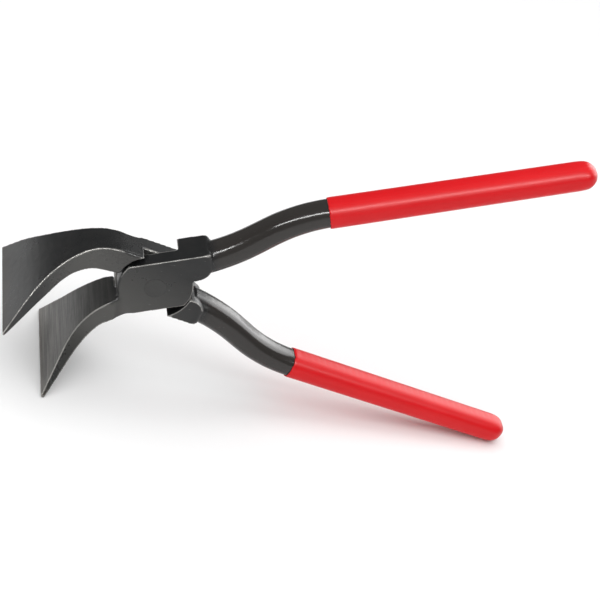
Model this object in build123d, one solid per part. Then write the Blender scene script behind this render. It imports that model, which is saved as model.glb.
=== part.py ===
from build123d import *
import os
from math import cos, radians, sin, tan

# Hand seamer: drop-forged seaming pliers with 60 mm wide blades bent 45 degrees
# and a riveted lap joint. Millimetres. The tool stands in a vertical plane, on the
# edge of its lower blade and the end of its lower handle: +Z is up, +X runs
# level towards the handles, and -Y is the pivot axis, out of the rivet's visible
# face. The origin is on the pivot axis, at that face.
#
# Each half is drawn closed and lying flat, with the pivot axis along Z and the
# middle of the joint at Z = 0, then turned by half the opening and stood up.

# Driving dimensions
blade_width = 60.0
joint_thickness = 15.2
rest_opening = 33.8          # angle between the halves as they lie at rest, degrees
half_opening = rest_opening / 2
standing_angle = 8.61        # turn of the centre line that stands the open tool on its two ends
half_thickness = joint_thickness / 2

# Lap joint
lower_cheek_radius = 16.7    # round shoulder of the lower jaw's cheek, which is the visible one
upper_cheek_radius = 17.5    # and of the upper jaw's cheek, beneath it
upper_recess_radius = 17.1   # hollow in the upper jaw's half, around the visible cheek
lower_recess_radius = 18.0   # hollow in the lower jaw's half, around the cheek beneath
lower_jaw_edge = 12.4        # from the pivot to the flat edge of each half, on its jaw's side
upper_jaw_edge = 12.9
upper_handle_edge = 13.6     # and on its handle's side
lower_handle_edge = 12.5
lap_gap = 0.05               # from the middle plane to each lap face
stop_gap = 0.3               # from the centre line to each handle root

# Rivet
rivet_radius = 4.0
rivet_head_radius = 4.8
rivet_clearance = 0.05       # running clearance in the half that turns on it

# Handle root block and rod
block_end = 27.0
block_corner = 3.0
block_inner_corner = 8.5
rod_width = 11.4             # across the handle, in the plane of the tool, where the grip starts
rod_depth = 12.6             # along the pivot axis, at the same place
rod_corner = 4.9
rod_root_scale = 1.1         # the rod tapers from its root to the grip, and on to its end
rod_end_scale = 0.94
rod_start = (20.0, 6.2)
rod_start_angle = 5.0
rod_rise_angle = 23.0
rod_first_radius = 86.0
rod_second_radius = 69.0
rod_middle_length = 7.6
rod_end = 193.5
rod_end_round = 3.9

# Grips
grip_start = 79.0
grip_end = 197.6
coat = 0.6                   # thickness of the dipped vinyl
grip_end_round = 5.0
grip_lip_round = 0.4

# Blades: the working faces meet at the tip first, and part a little towards the neck
tip = (-57.0, -33.1)
lower_face_angle = 49.5
upper_face_angle = 53.0
face_length = 18.0           # flat working face, from the tip
face_gap = 0.04              # from the tip's line to each face when closed
edge_round = 0.95            # radius of the blunt blade edge

# Flare of each blade: straight sides from the edge, then an arc into the neck.
# Direction of the flare's axis, slant of its sides, their straight length, half width of the neck
lower_flare = (50.0, 31.4, 19.0, 9.4)
upper_flare = (22.8, 40.0, 13.0, 7.2)
neck_flare_start = -12.0
neck_flare_radius = 13.0
neck_flare_sweep = 70.0

reach = 80.0                 # longer than any cut needs to be


def along_face(face_angle, distance, offset):
    """A point at a distance from the tip along a working face, offset to the upper jaw's side."""
    a = radians(face_angle)
    x = tip[0] + distance * cos(a) - offset * sin(a)
    y = tip[1] + distance * sin(a) + offset * cos(a)
    return (x, y)


def slab(sketch, bottom, top):
    """The sketch as a plate between two heights."""
    return Pos(0, 0, bottom) * extrude(sketch, top - bottom)


def flare_outline(angle, length, neck_half_width):
    """Half outline of a blade: the distance along it from its edge, and its half width there."""
    a = radians(angle)
    overrun = 6.0
    start = (-overrun, blade_width / 2 + overrun * tan(a))
    end = (length, blade_width / 2 - length * tan(a))
    with BuildLine() as line:
        straight = Line(start, end)
        bend = JernArc(end, straight % 1, (end[1] - neck_half_width) / (1 - cos(a)), angle)
        level = Line(bend @ 1, (2 * reach, (bend @ 1).Y))
        Polyline(level @ 1, (2 * reach, 0), (-overrun, 0), start)
    return make_face(line.line)


def flare_solid(face_angle, side, axis_angle, angle, length, neck_half_width):
    """Everything within the flare of a blade, which is widest at the blade's rounded edge."""
    half = flare_outline(angle, length, neck_half_width)
    whole = half + mirror(half, Plane.XZ)
    a = radians(axis_angle)
    x, y = along_face(face_angle, edge_round, (edge_round + face_gap) * side)
    origin = (x - edge_round * cos(a), y - edge_round * sin(a), 0)
    plane = Plane(origin=origin, x_dir=(cos(a), sin(a), 0), z_dir=(sin(a), -cos(a), 0))
    return extrude(plane * whole, reach, both=True)


def neck_solid():
    """Everything within the joint's thickness, widening in an arc towards the blades."""
    with BuildLine() as line:
        level = Line((reach, half_thickness), (neck_flare_start, half_thickness))
        bend = JernArc(level @ 1, (-1, 0), neck_flare_radius, -neck_flare_sweep)
        flank = Line(bend @ 1, bend @ 1 + blade_width * (bend % 1))
        Polyline(flank @ 1, (-2 * reach, (flank @ 1).Y), (-2 * reach, 0), (reach, 0), level @ 0)
    half = make_face(line.line)
    whole = half + mirror(half, Plane.XZ)
    plane = Plane(origin=(0, 0, 0), x_dir=(1, 0, 0), z_dir=(0, -1, 0))
    return extrude(plane * whole, reach, both=True)


def edge_points(face_angle, side):
    """Where a blade's inner and outer surfaces meet the blunt edge; side is 1 for the upper jaw."""
    inner = along_face(face_angle, edge_round, face_gap * side)
    outer = along_face(face_angle, edge_round, (2 * edge_round + face_gap) * side)
    nose = along_face(face_angle, 0, (edge_round + face_gap) * side)
    return inner, nose, outer


def upper_jaw_outline():
    """Upper jaw seen along the pivot axis, closed: thick, with a deep relief behind its face."""
    inner, nose, outer = edge_points(upper_face_angle, 1)
    face_end = along_face(upper_face_angle, face_length, face_gap)
    with BuildLine() as line:
        face = Line(inner, face_end)
        relief = Spline(
            face_end,
            (-38.3, -6.2),
            (-30.9, -1.0),
            (-17.0, stop_gap),
            tangents=(face % 1, (1, 0)),
        )
        Polyline(relief @ 1, (-11.0, upper_jaw_edge), (-20.0, upper_jaw_edge))
        back = Spline(
            (-20.0, upper_jaw_edge),
            (-38.7, 5.3),
            (-50.3, -10.5),
            outer,
            tangents=((-1, 0), (-1, -3.2)),
        )
        ThreePointArc(back @ 1, nose, inner)
    return make_face(line.line)


def lower_jaw_outline():
    """Lower jaw seen along the pivot axis, closed: slimmer, its neck set below the joint."""
    inner, nose, outer = edge_points(lower_face_angle, -1)
    face_end = along_face(lower_face_angle, face_length, -face_gap)
    neck_top = (-16.4, -1.7)
    with BuildLine() as line:
        face = Line(inner, face_end)
        relief = Spline(
            face_end,
            (-37.8, -11.7),
            (-27.8, -5.3),
            neck_top,
            tangents=(face % 1, (1, 0.25)),
        )
        Polyline(relief @ 1, (-11.0, -lower_jaw_edge), (-15.0, -lower_jaw_edge))
        back = Spline(
            (-15.0, -lower_jaw_edge),
            (-26.3, -12.8),
            (-34.3, -17.1),
            outer,
            tangents=((-1, 0), (-1, -0.82)),
        )
        ThreePointArc(back @ 1, nose, inner)
    return make_face(line.line)


def cheek_sketch(cheek_radius, jaw_edge, handle_edge):
    """The round cheek, cut flat above and below."""
    height = jaw_edge + handle_edge
    return Circle(cheek_radius) & Pos(0, (handle_edge - jaw_edge) / 2) * Rectangle(2 * reach, height)


def block_solid(handle_edge):
    """Handle root above the centre line, rounded off where the rod begins."""
    corners = ((0, stop_gap), (block_end, stop_gap), (block_end, handle_edge), (0, handle_edge))
    rounds = (0, block_inner_corner, block_corner, 0)
    plan = make_face(FilletPolyline(*corners, radius=rounds, close=True))
    side = RectangleRounded(2 * block_end, joint_thickness, block_corner)
    plan_solid = extrude(plan, reach, both=True)
    side_solid = extrude(Plane.XZ * side, reach, both=True)
    right_side = Pos(reach, 0, 0) * Box(2 * reach, 2 * reach, 2 * reach)
    return plan_solid & side_solid & right_side


def rod_path():
    """Centre line of the upper handle: two opposite bends, then straight to its end."""
    a = radians(rod_start_angle)
    with BuildLine() as line:
        first = JernArc(
            rod_start, (cos(a), sin(a)), rod_first_radius, rod_rise_angle - rod_start_angle
        )
        middle = Line(first @ 1, first @ 1 + rod_middle_length * (first % 1))
        second = JernArc(middle @ 1, middle % 1, rod_second_radius, -rod_rise_angle)
        Line(second @ 1, (rod_end, (second @ 1).Y))
    return line.line


def rod_section(point, direction, scale, coating=0.0):
    """The rod's rounded section at a point of its centre line, with any coating around it."""
    plane = Plane(origin=point, x_dir=(-direction.Y, direction.X, 0), z_dir=direction)
    width = scale * rod_width + 2 * coating
    depth = scale * rod_depth + 2 * coating
    return plane * RectangleRounded(width, depth, scale * rod_corner + coating)


def handle_rod():
    """The bent, tapered rod of the upper handle, rounded at its free end."""
    path = rod_path()
    straight = path.edges().sort_by(Axis.X)[-1]
    root = rod_section(path @ 0, path % 0, rod_root_scale)
    middle = rod_section(straight @ 0, straight % 0, 1)
    end = rod_section(straight @ 1, straight % 1, rod_end_scale)
    bent = sweep([root, middle], path=Wire(path.edges().sort_by(Axis.X)[:-1]), multisection=True)
    rod = bent + loft([middle, end])
    end_edges = rod.faces().sort_by(Axis.X)[-1].edges()
    return fillet(end_edges, rod_end_round)


def forging(jaw_outline, flare, jaw_edge, handle_edge, cheek_radius, recess_radius):
    """One half with its cheek uppermost and its handle above the centre line, before its hole."""
    jaw = slab(jaw_outline, -reach, reach) & flare & neck
    own_side = jaw + block_solid(handle_edge)
    recess = Pos(0, 0, lap_gap - reach / 2) * Cylinder(recess_radius, reach)
    cheek = slab(cheek_sketch(cheek_radius, jaw_edge, handle_edge), lap_gap, half_thickness)
    body = (own_side - recess) + cheek
    return (body + rod).solids().sort_by(SortBy.VOLUME)[-1]


def rivet_profile(clearance):
    """Half profile of the rivet, or of its hole with a clearance, down to the middle plane."""
    taper = rivet_head_radius - rivet_radius
    over = 1.0 if clearance else 0.0
    shank = rivet_radius + clearance
    with BuildLine() as line:
        Polyline(
            (0, -over),
            (shank, -over),
            (shank, half_thickness - taper),
            (shank + taper + over, half_thickness + over),
            (0, half_thickness + over),
            close=True,
        )
    return make_face(line.line)


def rivet_half(clearance=0.0):
    """The rivet from the middle plane up to its countersunk head, flush with the cheek."""
    return revolve(Plane.XZ * rivet_profile(clearance), Axis.Z)


def grip_solid(rod):
    """Dipped vinyl sleeve on the straight of the upper handle, closed and rounded at its end."""
    straight = rod_path().edges().sort_by(Axis.X)[-1]
    start = straight @ 0
    level = straight % 0
    slope = (rod_end_scale - 1) / (rod_end - start.X)
    ends = []
    for x in (grip_start, grip_end):
        ends.append(rod_section(Vector(x, start.Y, 0), level, 1 + slope * (x - start.X), coat))
    sleeve = loft(ends)
    sleeve = fillet(sleeve.faces().sort_by(Axis.X)[-1].edges(), grip_end_round)
    sleeve = fillet(sleeve.faces().sort_by(Axis.X)[0].edges(), grip_lip_round)
    return sleeve - rod


def place(solid, angle):
    """Turns a closed half about the pivot and stands it up, with the rivet's face at Y = 0."""
    return Rot(90, 0, 0) * Pos(0, 0, -half_thickness) * Rot(0, 0, angle + standing_angle) * solid


def turned_over(solid):
    """The same solid turned half a turn about the X axis, for the half that lies beneath."""
    return Rot(180, 0, 0) * solid


neck = neck_solid()
rod = handle_rod()

# Lower jaw and upper handle: its cheek is the visible one, and it holds the rivet.
lower_jaw_half = forging(
    lower_jaw_outline(),
    flare_solid(lower_face_angle, -1, *lower_flare),
    lower_jaw_edge,
    upper_handle_edge,
    lower_cheek_radius,
    lower_recess_radius,
)
lower_jaw_half = lower_jaw_half - rivet_half()

# Upper jaw and lower handle: drawn upside down, because turning it over puts its cheek beneath.
upper_jaw_half = forging(
    mirror(upper_jaw_outline(), Plane.XZ),
    turned_over(flare_solid(upper_face_angle, 1, *upper_flare)),
    upper_jaw_edge,
    lower_handle_edge,
    upper_cheek_radius,
    upper_recess_radius,
)
upper_jaw_half = turned_over(upper_jaw_half - rivet_half(rivet_clearance))

rivet = rivet_half() + turned_over(rivet_half())
upper_grip = grip_solid(rod)
lower_grip = turned_over(upper_grip)

nodes = {
    "lower_jaw_half": place(lower_jaw_half, half_opening),
    "pivot_rivet": place(rivet, half_opening),
    "upper_grip": place(upper_grip, half_opening),
    "upper_jaw_half": place(upper_jaw_half, -half_opening),
    "lower_grip": place(lower_grip, -half_opening),
}

os.makedirs("parts", exist_ok=True)
for name, solid in nodes.items():
    export_step(solid, f"parts/{name}.step")
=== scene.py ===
import math

import bpy
import numpy as np
from mathutils import Matrix, Vector


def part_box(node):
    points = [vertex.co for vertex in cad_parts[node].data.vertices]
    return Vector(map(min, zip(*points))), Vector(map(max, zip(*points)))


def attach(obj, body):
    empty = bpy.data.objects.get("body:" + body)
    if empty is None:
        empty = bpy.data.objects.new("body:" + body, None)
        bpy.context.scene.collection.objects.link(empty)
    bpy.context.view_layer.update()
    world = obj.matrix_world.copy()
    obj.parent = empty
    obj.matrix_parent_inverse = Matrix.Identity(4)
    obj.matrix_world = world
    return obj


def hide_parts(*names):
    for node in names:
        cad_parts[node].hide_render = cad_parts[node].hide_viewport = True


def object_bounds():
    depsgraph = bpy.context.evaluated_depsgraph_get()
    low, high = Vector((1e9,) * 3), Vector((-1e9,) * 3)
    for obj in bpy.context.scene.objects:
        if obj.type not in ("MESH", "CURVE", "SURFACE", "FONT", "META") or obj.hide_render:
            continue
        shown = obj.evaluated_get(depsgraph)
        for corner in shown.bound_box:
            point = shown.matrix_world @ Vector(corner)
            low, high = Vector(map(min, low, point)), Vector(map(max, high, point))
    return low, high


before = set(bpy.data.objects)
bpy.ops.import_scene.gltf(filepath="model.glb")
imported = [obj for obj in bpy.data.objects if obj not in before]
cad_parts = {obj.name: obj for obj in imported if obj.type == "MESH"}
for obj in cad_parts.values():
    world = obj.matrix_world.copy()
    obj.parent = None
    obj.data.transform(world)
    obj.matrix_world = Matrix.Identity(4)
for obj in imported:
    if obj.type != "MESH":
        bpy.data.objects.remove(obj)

# Hand seamer: the two forgings and the two grips are softened copies of their CAD nodes, and the
# rivet keeps its CAD shape. Metres, in the frame that the CAD model stands in.

cad_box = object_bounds()

# The tool stands in the XZ plane; the pivot axis is Y and -Y faces out of the rivet's visible face.
MM = 0.001
JOINT_THICKNESS = 15.2 * MM
MIDDLE_Y = JOINT_THICKNESS / 2
STAND = math.radians(8.61)           # turn of the centre line from level
HALF_OPENING = math.radians(16.9)
TIP = (-57.0 * MM, -33.1 * MM)       # of the closed blades, before both turns

# Softening of the edges: size of the remesh, and rounds of smoothing
WELD_DISTANCE = 1e-6
STEEL_VOXEL = 0.40 * MM
STEEL_ROUNDS = 3
VINYL_VOXEL = 0.50 * MM
VINYL_ROUNDS = 5
SMOOTH_SHARE = 0.5
UNSHRINK_SHARE = -0.36

# Where the neck's flare is eased into the joint's sides: place along the half, reach, and depth
NECK_X = -17.0 * MM
NECK_REACH = 6.0 * MM
NECK_DEPTH = 2.5 * MM
NECK_FADE = 2.0 * MM
NECK_ROUNDS = 40

# Closed end of a grip: the length that is drawn in, and by how much
GRIP_NOSE = 9.0 * MM
GRIP_NOSE_DRAW = 0.22

# Where wear shows on a half, and where the painted sheen lies, seen closed and level
EDGE_ROUNDS = 14                     # of smoothing, against which an edge stands proud
EDGE_GAIN = 6.0
RIVET_CLEAR = 7.0                    # mm around the pivot without edge wear
FACE_SLOPE = math.radians(50)        # of the working faces
JAW_START = -15.0 * MM
JAW_FADE = 5.0 * MM
LOWER_GROUND = 1.0                   # how much of the grinding shows on each blade
UPPER_GROUND = 0.12
TIP_REACH = 26.0                     # mm over which the bared steel fades from the tip
LIP_WIDTH = 0.6                      # mm of browned edge, and the length over which it fades
LIP_FADE = 2.0
HANDLE_START = 26.0 * MM
HANDLE_FADE = 4.0 * MM
PAINTED_SHEEN_START = 14.0 * MM             # painted sheen: the joint's flat side is painted paler towards its lower jaw end
PAINTED_SHEEN_FADE = 34.0 * MM


# ---------------------------------------------------------------- geometry

def mesh_points(mesh):
    """Vertex positions of a mesh as an array."""
    points = np.zeros(len(mesh.vertices) * 3)
    mesh.vertices.foreach_get("co", points)
    return points.reshape(-1, 3)


def mesh_normals(mesh):
    """Vertex normals of a mesh as an array."""
    normals = np.zeros(len(mesh.vertices) * 3)
    mesh.vertices.foreach_get("normal", normals)
    return normals.reshape(-1, 3)


def mesh_edges(mesh):
    """Vertex pairs of a mesh's edges."""
    edges = np.zeros(len(mesh.edges) * 2, int)
    mesh.edges.foreach_get("vertices", edges)
    return edges.reshape(-1, 2)


def neighbour_mean(values, edges, count):
    """Mean of the neighbours' values at each vertex."""
    total = np.zeros((len(values), values.shape[1]))
    for column in range(values.shape[1]):
        total[:, column] = np.bincount(edges[:, 0], values[edges[:, 1], column], len(values))
        total[:, column] += np.bincount(edges[:, 1], values[edges[:, 0], column], len(values))
    return total / np.maximum(count, 1)[:, None]


def smooth_values(values, edges, rounds, share=0.5):
    """Values eased towards their neighbours' mean."""
    count = np.bincount(edges.ravel(), minlength=len(values))
    for _ in range(rounds):
        values = values + share * (neighbour_mean(values, edges, count) - values)
    return values


def set_points(mesh, points):
    """Moves a mesh's vertices."""
    mesh.vertices.foreach_set("co", points.astype(np.float32).ravel())
    mesh.update()


def set_attribute(mesh, name, values):
    """A named value at each vertex, for a material to read."""
    attribute = mesh.attributes.new(name, "FLOAT", "POINT")
    attribute.data.foreach_set("value", values.astype(np.float32))


def softened(node, name, voxel, rounds):
    """A copy of a CAD node with its edges softened as a forging's or a dip's are."""
    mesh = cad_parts[node].data.copy()
    mesh.name = name
    mesh.materials.clear()
    piece = bpy.data.objects.new(name, mesh)
    bpy.context.scene.collection.objects.link(piece)
    weld = piece.modifiers.new("weld", "WELD")
    weld.merge_threshold = WELD_DISTANCE
    remesh = piece.modifiers.new("remesh", "REMESH")
    remesh.mode = "VOXEL"
    remesh.voxel_size = voxel
    graph = bpy.context.evaluated_depsgraph_get()
    made = bpy.data.meshes.new_from_object(piece.evaluated_get(graph))
    piece.modifiers.clear()
    piece.data = made
    made.name = name
    edges = mesh_edges(made)
    points = mesh_points(made)
    for _ in range(rounds):
        points = smooth_values(points, edges, 1, SMOOTH_SHARE)
        points = smooth_values(points, edges, 1, UNSHRINK_SHARE)
    low, high = (np.array(c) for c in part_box(node))
    set_points(made, np.clip(points, low, high))
    made.polygons.foreach_set("use_smooth", [True] * len(made.polygons))
    return piece


def closed_coordinates(points, turn):
    """Points of a half brought back to the closed, level position: along, up, and across."""
    angle = -(STAND + turn)
    x = points[:, 0] * math.cos(angle) - points[:, 2] * math.sin(angle)
    z = points[:, 0] * math.sin(angle) + points[:, 2] * math.cos(angle)
    return x, z, points[:, 1] - MIDDLE_Y


def ease_neck(piece, turn):
    """Runs the flare of the neck smoothly into the sides of the joint."""
    mesh = piece.data
    edges = mesh_edges(mesh)
    points = mesh_points(mesh)
    x, _, y = closed_coordinates(points, turn)
    near = np.clip(1 - np.abs(x - NECK_X) / NECK_REACH, 0, 1) * 1.5
    side = np.clip((np.abs(y) - JOINT_THICKNESS / 2 + NECK_DEPTH) / NECK_FADE, 0, 1)
    share = (np.clip(near, 0, 1) * side)[:, None]
    set_points(mesh, points + share * (smooth_values(points, edges, NECK_ROUNDS) - points))


def convexity(mesh, edges):
    """How far each vertex stands proud of its softened surroundings, in millimetres."""
    points = mesh_points(mesh)
    even = smooth_values(points, edges, EDGE_ROUNDS)
    proud = ((points - even) * mesh_normals(mesh)).sum(1) / MM
    return smooth_values(proud[:, None], edges, 3)[:, 0]


def mark_forging(piece, turn, face_side):
    """Attributes of a half: its edges, ground working face, tip, lip, handle, and the painted sheen
    of its flat sides.

    face_side is 1 for the lower jaw and -1 for the upper one.
    """
    mesh = piece.data
    edges = mesh_edges(mesh)
    points = mesh_points(mesh)
    normals = mesh_normals(mesh)
    x, z, _ = closed_coordinates(points, turn)
    nx, nz, _ = closed_coordinates(normals, turn)
    from_pivot = np.hypot(x, z) / MM
    proud = np.clip(convexity(mesh, edges) * EDGE_GAIN, -1, 1)
    proud = proud * np.clip(from_pivot - RIVET_CLEAR, 0, 1)
    set_attribute(mesh, "edge", proud)
    inward = -face_side * (nx * math.sin(FACE_SLOPE) - nz * math.cos(FACE_SLOPE))
    jaw = np.clip((JAW_START - x) / JAW_FADE, 0, 1)
    share = LOWER_GROUND if face_side > 0 else UPPER_GROUND
    set_attribute(mesh, "ground", share * jaw * np.clip((inward - 0.35) * 4, 0, 1))
    reach = np.hypot(x - TIP[0], z - TIP[1]) / MM
    set_attribute(mesh, "tip", np.exp(-reach / TIP_REACH))
    set_attribute(mesh, "lip", np.exp(-np.clip(reach - LIP_WIDTH, 0, None) / LIP_FADE))
    set_attribute(mesh, "handle", np.clip((x - HANDLE_START) / HANDLE_FADE, 0, 1))
    # Painted sheen: the flat sides are painted paler towards the lower jaw end, standing in for the
    # light that falls there.
    flat_side = np.clip((np.abs(normals[:, 1]) - 0.8) * 6, 0, 1)
    towards_jaw = PAINTED_SHEEN_START - 0.8 * x - 0.7 * z
    set_attribute(mesh, "painted_sheen", flat_side * np.clip(towards_jaw / PAINTED_SHEEN_FADE, 0, 1))


# ---------------------------------------------------------------- shader helpers

class Nodes:
    """A material's node tree with short ways to add and join nodes."""

    def __init__(self, name):
        self.material = bpy.data.materials.new(name)
        self.material.use_nodes = True
        self.tree = self.material.node_tree
        self.shader = self.tree.nodes["Principled BSDF"]
        self.object = self.add("ShaderNodeTexCoord").outputs["Object"]

    def add(self, kind, **settings):
        node = self.tree.nodes.new(kind)
        for key, value in settings.items():
            setattr(node, key, value)
        return node

    def feed(self, socket, value):
        if isinstance(value, bpy.types.NodeSocket):
            self.tree.links.new(value, socket)
        else:
            socket.default_value = value

    def attribute(self, name):
        return self.add("ShaderNodeAttribute", attribute_name=name).outputs["Fac"]

    def math(self, operation, a, b=0.0, clamp=False):
        node = self.add("ShaderNodeMath", operation=operation, use_clamp=clamp)
        self.feed(node.inputs[0], a)
        self.feed(node.inputs[1], b)
        return node.outputs[0]

    def stretched(self, turn, scale):
        """Object coordinates turned about the pivot axis and scaled."""
        node = self.add("ShaderNodeMapping", vector_type="POINT")
        self.feed(node.inputs["Vector"], self.object)
        node.inputs["Rotation"].default_value = (0, turn, 0)
        node.inputs["Scale"].default_value = scale
        return node.outputs["Vector"]

    def noise(self, scale, detail=4.0, rough=0.55, vector=None, distortion=0.0):
        node = self.add("ShaderNodeTexNoise")
        self.feed(node.inputs["Vector"], vector or self.object)
        node.inputs["Scale"].default_value = scale
        node.inputs["Detail"].default_value = detail
        node.inputs["Roughness"].default_value = rough
        node.inputs["Distortion"].default_value = distortion
        return node.outputs["Fac"]

    def remap(self, value, low, high, to_low, to_high):
        node = self.add("ShaderNodeMapRange", clamp=True)
        self.feed(node.inputs["Value"], value)
        node.inputs["From Min"].default_value = low
        node.inputs["From Max"].default_value = high
        node.inputs["To Min"].default_value = to_low
        node.inputs["To Max"].default_value = to_high
        return node.outputs["Result"]

    def blend(self, share, a, b):
        """Colour b over colour a by a share."""
        node = self.add("ShaderNodeMix", data_type="RGBA")
        self.feed(node.inputs["Factor"], share)
        self.feed(node.inputs["A"], a)
        self.feed(node.inputs["B"], b)
        return node.outputs["Result"]

    def bump(self, height, distance, strength=1.0, under=None):
        node = self.add("ShaderNodeBump")
        self.feed(node.inputs["Height"], height)
        node.inputs["Distance"].default_value = distance
        node.inputs["Strength"].default_value = strength
        if under is not None:
            self.feed(node.inputs["Normal"], under)
        return node.outputs["Normal"]


# ---------------------------------------------------------------- materials

# Base colours of the steel: blackened, sooty, painted sheen, handle, ground, browned and worn
BLACK = (0.0125, 0.0125, 0.0125, 1)
# Painted sheen: the paler colour painted on the flat sides towards the lower jaw end
PAINTED_SHEEN_COLOUR = (0.062, 0.061, 0.057, 1)
HANDLE = (0.032, 0.028, 0.025, 1)
SOOT = (0.0075, 0.008, 0.0085, 1)
GROUND = (0.30, 0.29, 0.27, 1)
BROWN = (0.10, 0.07, 0.045, 1)
WORN = (0.42, 0.41, 0.39, 1)
STEEL_SPECULAR = 0.40
METAL_SHARE = 0.9                    # of the bared, worn and scratched steel that shines as metal
RIVET_PAINTED_SHEEN = 0.40                  # painted sheen: the rivet is painted as pale as the cheek around it
HANDLE_TINT = 0.7
HANDLE_GLOSS = 0.13                  # the handles' rods are smoother than the forged joint
GROUND_MATT = 0.10
LIP_TINT = 0.35

# Base colours of the vinyl: two reds that drift into each other, and its specks
RED_DEEP = (0.60, 0.0015, 0.005, 1)
RED_LIGHT = (0.66, 0.003, 0.007, 1)
RED_SPECK = (0.42, 0.003, 0.006, 1)


def blackened_steel(name, turn):
    """Oil-blackened forging: mottled scale, painted sheen on the flat sides, ground working face,
    bright worn edges, scratches.

    turn brings the streaks level with the closed half, so that they run along its blade's edge.
    """
    n = Nodes(name)
    mottle = n.noise(90, 5, 0.6)
    colour = n.blend(n.remap(mottle, 0.35, 0.65, 0, 1), SOOT, BLACK)
    # Painted sheen: the flat sides are painted paler towards the lower jaw end.
    colour = n.blend(n.attribute("painted_sheen"), colour, PAINTED_SHEEN_COLOUR)
    handle = n.attribute("handle")
    colour = n.blend(n.math("MULTIPLY", handle, HANDLE_TINT), colour, HANDLE)
    ground = n.attribute("ground")
    tip = n.attribute("tip")
    streaks = n.noise(1, 4, 0.6, n.stretched(turn, (1300, 45, 1300)))
    broad = n.noise(1, 3, 0.5, n.stretched(turn, (400, 30, 400)))
    streaked = n.math("MULTIPLY", tip, n.remap(streaks, 0.35, 0.65, 0.3, 1.0))
    bared = n.math("MULTIPLY", ground, streaked)
    bared = n.math("MULTIPLY", bared, n.remap(broad, 0.3, 0.7, 0.6, 1.0), clamp=True)
    colour = n.blend(bared, colour, GROUND)
    colour = n.blend(n.math("MULTIPLY", n.attribute("lip"), LIP_TINT), colour, BROWN)
    edge = n.remap(n.attribute("edge"), 0.7, 1.0, 0, 1)
    patchy = n.remap(n.noise(160, 4, 0.6), 0.3, 0.55, 0.4, 0.6)
    worn = n.math("MULTIPLY", edge, patchy)
    colour = n.blend(worn, colour, WORN)
    scratches = n.noise(1, 2, 0.5, n.stretched(turn + 0.5, (260, 2600, 900)), 0.6)
    scratch = n.remap(scratches, 0.71, 0.77, 0, 0.15)
    colour = n.blend(scratch, colour, WORN)
    n.feed(n.shader.inputs["Base Color"], colour)
    metal = n.math("MAXIMUM", n.math("MAXIMUM", bared, worn), scratch)
    n.feed(n.shader.inputs["Metallic"], n.math("MULTIPLY", metal, METAL_SHARE))
    n.shader.inputs["Specular IOR Level"].default_value = STEEL_SPECULAR
    grain = n.remap(n.noise(420, 3, 0.6), 0.3, 0.7, -0.03, 0.03)
    cloud = n.remap(n.noise(38, 3, 0.5), 0.3, 0.7, 0.26, 0.36)
    rough = n.math("ADD", grain, cloud)
    rough = n.math("ADD", rough, n.math("MULTIPLY", ground, GROUND_MATT))
    rough = n.math("SUBTRACT", rough, n.math("MULTIPLY", handle, HANDLE_GLOSS))
    n.feed(n.shader.inputs["Roughness"], rough)
    scale = n.bump(n.noise(260, 4, 0.5), 0.00006, 0.2)
    pits = n.bump(n.remap(n.noise(700, 2, 0.5), 0.28, 0.42, 0, 1), 0.00003, 0.25, scale)
    milled = n.bump(n.math("MULTIPLY", streaks, ground), 0.00005, 0.8, pits)
    n.feed(n.shader.inputs["Normal"], milled)
    return n.material


def rivet_steel():
    """Rivet end ground flush with the cheek, then blackened with it."""
    n = Nodes("rivet_steel")
    turned = n.noise(500, 4, 0.6)
    colour = n.blend(n.remap(turned, 0.35, 0.65, 0, 1), SOOT, BLACK)
    # Painted sheen: the rivet is painted as pale as the cheek's painted sheen around it.
    colour = n.blend(RIVET_PAINTED_SHEEN, colour, PAINTED_SHEEN_COLOUR)
    n.feed(n.shader.inputs["Base Color"], colour)
    n.shader.inputs["Specular IOR Level"].default_value = STEEL_SPECULAR
    n.feed(n.shader.inputs["Roughness"], n.remap(n.noise(300, 3), 0.3, 0.7, 0.29, 0.38))
    n.feed(n.shader.inputs["Normal"], n.bump(n.noise(900, 3, 0.6), 0.00004, 0.5))
    return n.material


def red_vinyl():
    """Dipped plastisol: saturated red, slightly uneven gloss, faint ripples and specks."""
    n = Nodes("red_vinyl")
    colour = n.blend(n.remap(n.noise(28, 4, 0.5), 0.3, 0.7, 0, 1), RED_DEEP, RED_LIGHT)
    specks = n.remap(n.noise(1500, 2, 0.5), 0.70, 0.78, 0, 0.5)
    colour = n.blend(specks, colour, RED_SPECK)
    n.feed(n.shader.inputs["Base Color"], colour)
    n.shader.inputs["Specular IOR Level"].default_value = 0.28
    n.feed(n.shader.inputs["Roughness"], n.remap(n.noise(120, 4, 0.6), 0.3, 0.7, 0.32, 0.42))
    ripple = n.bump(n.noise(90, 2, 0.5), 0.0002, 0.3)
    n.feed(n.shader.inputs["Normal"], n.bump(n.noise(1400, 3, 0.6), 0.00002, 0.3, ripple))
    return n.material


# ---------------------------------------------------------------- pieces

def paint(piece, material):
    """Gives a piece one material in place of any it has."""
    if piece.data.materials:
        for index in range(len(piece.data.materials)):
            piece.material_slots[index].material = material
    else:
        piece.data.materials.append(material)


def add_forging(node, body, turn, face_side):
    """A softened, blackened half in place of its CAD node, on the body that carries it."""
    piece = softened(node, node + "_forged", STEEL_VOXEL, STEEL_ROUNDS)
    ease_neck(piece, turn)
    mark_forging(piece, turn, face_side)
    paint(piece, blackened_steel(node + "_steel", -(STAND + turn)))
    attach(piece, body)
    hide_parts(node)


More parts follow.
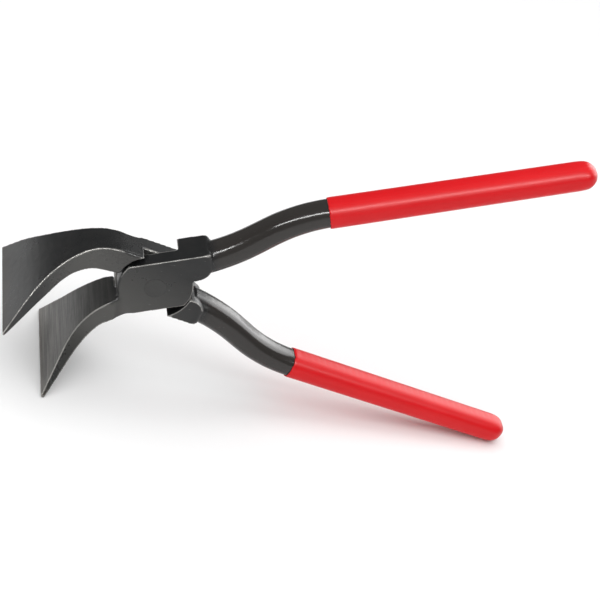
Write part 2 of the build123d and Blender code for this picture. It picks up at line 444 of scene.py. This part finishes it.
def round_off(piece, slope):
    """Draws the free end of a grip in towards its axis, as a dipped end is."""
    points = mesh_points(piece.data)
    axis = np.array((math.cos(slope), 0, math.sin(slope)))
    centre = (points.min(0) + points.max(0)) / 2
    along = (points - centre) @ axis
    share = np.clip((along - along.max() + GRIP_NOSE) / GRIP_NOSE, 0, 1)[:, None]
    on_axis = centre + along[:, None] * axis
    set_points(piece.data, on_axis + (points - on_axis) * (1 - GRIP_NOSE_DRAW * share ** 2))


def add_grip(node, body, material, slope):
    """A dipped grip in place of its CAD node."""
    piece = softened(node, node + "_dipped", VINYL_VOXEL, VINYL_ROUNDS)
    round_off(piece, slope)
    paint(piece, material)
    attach(piece, body)
    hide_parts(node)


def add_rivet():
    """The rivet keeps its CAD shape."""
    paint(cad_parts["pivot_rivet"], rivet_steel())


add_forging("lower_jaw_half", "lower_jaw_body", HALF_OPENING, 1)
add_forging("upper_jaw_half", "upper_jaw_body", -HALF_OPENING, -1)
vinyl = red_vinyl()
add_grip("upper_grip", "lower_jaw_body", vinyl, STAND + HALF_OPENING)
add_grip("lower_grip", "upper_jaw_body", vinyl, STAND - HALF_OPENING)
add_rivet()


# ---------------------------------------------------------------- stage, light and camera

FLOOR_HALF = 6.0
PAPER_DARK = (0.90, 0.90, 0.90, 1)
PAPER_LIGHT = (0.92, 0.92, 0.92, 1)
WORLD_STRENGTH = 0.22
CAMERA_PLACE = Vector((-0.19341, -0.62132, 0.47768))
CAMERA_RIGHT = Vector((0.92979, -0.12477, 0.34629))
CAMERA_BACK = Vector((-0.31446, -0.75824, 0.57113))
CAMERA_LENS = 110.66


def add_floor():
    """A pale matt floor under the blade's edge and the lower grip."""
    level = cad_box[0].z
    near, far = -FLOOR_HALF, FLOOR_HALF
    corners = [(near, near, level), (far, near, level), (far, far, level), (near, far, level)]
    mesh = bpy.data.meshes.new("floor")
    mesh.from_pydata(corners, [], [(0, 1, 2, 3)])
    floor = bpy.data.objects.new("floor", mesh)
    bpy.context.scene.collection.objects.link(floor)
    n = Nodes("floor_paper")
    n.feed(n.shader.inputs["Base Color"], n.blend(n.noise(3, 3, 0.5), PAPER_DARK, PAPER_LIGHT))
    n.shader.inputs["Roughness"].default_value = 0.9
    n.shader.inputs["Specular IOR Level"].default_value = 0.1
    paint(floor, n.material)


def add_softbox(name, direction, distance, width, height, power):
    """An area light at a direction and distance from the joint, facing it."""
    data = bpy.data.lights.new(name, "AREA")
    data.shape = "RECTANGLE"
    data.size = width
    data.size_y = height
    data.energy = power
    light = bpy.data.objects.new(name, data)
    away = Vector(direction).normalized()
    light.location = Vector((0, MIDDLE_Y, 0)) + away * distance
    light.rotation_mode = "QUATERNION"
    light.rotation_quaternion = away.to_track_quat("Z", "Y")
    bpy.context.scene.collection.objects.link(light)
    return light


def add_world():
    """An even white surround."""
    world = bpy.data.worlds.new("studio")
    world.use_nodes = True
    background = world.node_tree.nodes["Background"]
    background.inputs["Color"].default_value = (1.0, 1.0, 1.0, 1)
    background.inputs["Strength"].default_value = WORLD_STRENGTH
    bpy.context.scene.world = world


def add_camera():
    """Long lens, looking down at the rivet's side, rolled as the tool is held in the frame."""
    data = bpy.data.cameras.new("camera")
    data.sensor_width = 36.0
    data.lens = CAMERA_LENS
    data.clip_start = 0.05
    data.clip_end = 50
    camera = bpy.data.objects.new("camera", data)
    right = CAMERA_RIGHT.normalized()
    back = CAMERA_BACK.normalized()
    up = back.cross(right).normalized()
    turn = Matrix((right, up, back)).transposed().to_4x4()
    camera.matrix_world = Matrix.Translation(CAMERA_PLACE) @ turn
    bpy.context.scene.collection.objects.link(camera)
    bpy.context.scene.camera = camera


add_floor()
add_world()
fill = add_softbox("fill", (0.0, 0.0, 1.0), 1.6, 2.8, 2.8, 48)
fill.visible_glossy = False
front = add_softbox("front", (-0.3, -1.0, 0.3), 1.6, 1.4, 1.0, 7)
front.visible_glossy = False
strip = add_softbox("strip", (-0.10, -0.60, 0.72), 0.9, 1.5, 0.10, 15)
strip.visible_diffuse = False
back_panel = add_softbox("back_panel", (0.80, 0.42, 0.40), 1.3, 1.2, 1.1, 21)
back_panel.visible_diffuse = False
add_camera()

view = bpy.context.scene.view_settings
view.view_transform = "Standard"
view.look = "None"
view.exposure = 0.0
